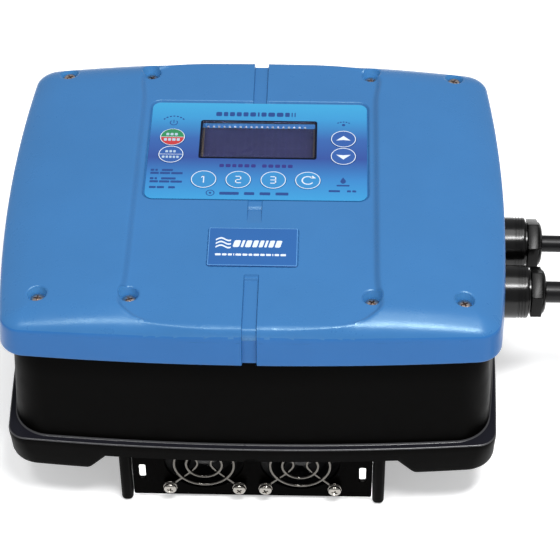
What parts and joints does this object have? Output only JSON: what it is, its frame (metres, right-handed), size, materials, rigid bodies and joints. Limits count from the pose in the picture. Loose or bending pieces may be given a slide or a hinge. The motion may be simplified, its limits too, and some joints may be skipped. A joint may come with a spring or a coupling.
{
  "type": "pool pump speed controller",
  "caption": "Wall-hung pool pump speed controller: bowed blue cover with keypad and display, black base, finned heat sink with fans, and cable glands with coiled leads.",
  "frame": {"origin": "centre of the wall bracket's back face, where the unit meets the wall", "axes": "+X to the right across the width, on the cable gland side; +Y to the unit's upper end, away from the fans; +Z out of the wall, normal to the front face"},
  "size_m": [0.4474, 0.2403, 0.1193],
  "materials": {
    "cover_blue": "fine spark-eroded texture, satin",
    "base_black": "glossy moulded black",
    "seal_rubber": "soft foam gasket",
    "film_blue": "printed polyester film",
    "window_clear": "clear polycarbonate lens",
    "lcd_dark": "moulded electronic part",
    "board_green": "solder resist",
    "badge_blue": "domed label",
    "sink_aluminium": "extruded, clear anodised",
    "capacitor_sleeve": "heat-shrink sleeve",
    "winding_copper": "enamelled copper winding",
    "terminal_green": "moulded polyamide",
    "bracket_steel": "zinc-plated sheet",
    "connector_black": "moulded connector",
    "button_print": "printed key cap with a light ring",
    "screw_steel": "plated steel",
    "fan_black": "glass-filled plastic",
    "guard_chrome": "chrome-plated wire",
    "gland_black": "polyamide",
    "cable_jacket": "smooth cable jacket"
  },
  "bodies": {
    "housing": {"front_cover": "cover_blue", "rear_base": "base_black", "cover_seal": "seal_rubber", "overlay_film": "film_blue", "display_window": "window_clear", "lcd_module": "lcd_dark", "display_board": "board_green", "badge_plate": "badge_blue", "heat_sink": "sink_aluminium", "main_board": "board_green", "power_module": "lcd_dark", "capacitor_1": "capacitor_sleeve", "capacitor_2": "capacitor_sleeve", "inductor": "winding_copper", "terminal_block_motor": "terminal_green", "terminal_block_supply": "terminal_green", "fan_plate": "base_black", "outlet_grille": "base_black", "wall_bracket": "bracket_steel", "supply_plug": "connector_black", "motor_socket": "connector_black", "cover_screw_lower_outer_left": "screw_steel", "cover_screw_lower_outer_right": "screw_steel", "cover_screw_lower_inner_left": "screw_steel", "cover_screw_lower_inner_right": "screw_steel", "cover_screw_upper_outer_left": "screw_steel", "cover_screw_upper_outer_right": "screw_steel", "cover_screw_upper_inner_left": "screw_steel", "cover_screw_upper_inner_right": "screw_steel", "fan_screw_left_lower_a": "screw_steel", "fan_screw_left_lower_b": "screw_steel", "fan_screw_left_upper_a": "screw_steel", "fan_screw_left_upper_b": "screw_steel", "fan_screw_right_lower_a": "screw_steel", "fan_screw_right_lower_b": "screw_steel", "fan_screw_right_upper_a": "screw_steel", "fan_screw_right_upper_b": "screw_steel", "fan_frame_left": "fan_black", "finger_guard_left": "guard_chrome", "fan_frame_right": "fan_black", "finger_guard_right": "guard_chrome", "gland_sleeve_motor": "gland_black", "gland_nut_motor": "gland_black", "cable_motor": "cable_jacket", "cable_coil_motor": "cable_jacket", "gland_sleeve_supply": "gland_black", "gland_nut_supply": "gland_black", "cable_supply": "cable_jacket", "cable_coil_supply": "cable_jacket"},
    "button_run_stop": {"button_run_stop": "button_print"},
    "button_set": {"button_set": "button_print"},
    "button_speed_1": {"button_speed_1": "button_print"},
    "button_speed_2": {"button_speed_2": "button_print"},
    "button_speed_3": {"button_speed_3": "button_print"},
    "button_backwash": {"button_backwash": "button_print"},
    "button_up": {"button_up": "button_print"},
    "button_down": {"button_down": "button_print"},
    "fan_rotor_left": {"fan_rotor_left": "fan_black"},
    "fan_rotor_right": {"fan_rotor_right": "fan_black"}
  },
  "joints": [
    {"name": "button_run_stop_press", "type": "slide", "parent": "housing", "child": "button_run_stop", "axis": [0, 0, -1], "range_m": [0, 0.0006], "stiffness_N_per_m": 400},
    {"name": "button_set_press", "type": "slide", "parent": "housing", "child": "button_set", "axis": [0, 0, -1], "range_m": [0, 0.0006], "stiffness_N_per_m": 400},
    {"name": "button_speed_1_press", "type": "slide", "parent": "housing", "child": "button_speed_1", "axis": [0, 0, -1], "range_m": [0, 0.0006], "stiffness_N_per_m": 400},
    {"name": "button_speed_2_press", "type": "slide", "parent": "housing", "child": "button_speed_2", "axis": [0, 0, -1], "range_m": [0, 0.0006], "stiffness_N_per_m": 400},
    {"name": "button_speed_3_press", "type": "slide", "parent": "housing", "child": "button_speed_3", "axis": [0, 0, -1], "range_m": [0, 0.0006], "stiffness_N_per_m": 400},
    {"name": "button_backwash_press", "type": "slide", "parent": "housing", "child": "button_backwash", "axis": [0, 0, -1], "range_m": [0, 0.0006], "stiffness_N_per_m": 400},
    {"name": "button_up_press", "type": "slide", "parent": "housing", "child": "button_up", "axis": [0, 0, -1], "range_m": [0, 0.0006], "stiffness_N_per_m": 400},
    {"name": "button_down_press", "type": "slide", "parent": "housing", "child": "button_down", "axis": [0, 0, -1], "range_m": [0, 0.0006], "stiffness_N_per_m": 400},
    {"name": "fan_left_spin", "type": "hinge", "parent": "housing", "child": "fan_rotor_left", "pos_m": [-0.02205, -0.075, 0.02525], "axis": [0, 1, 0], "continuous": true},
    {"name": "fan_right_spin", "type": "hinge", "parent": "housing", "child": "fan_rotor_right", "pos_m": [0.02205, -0.075, 0.02525], "axis": [0, 1, 0], "continuous": true}
  ]
}
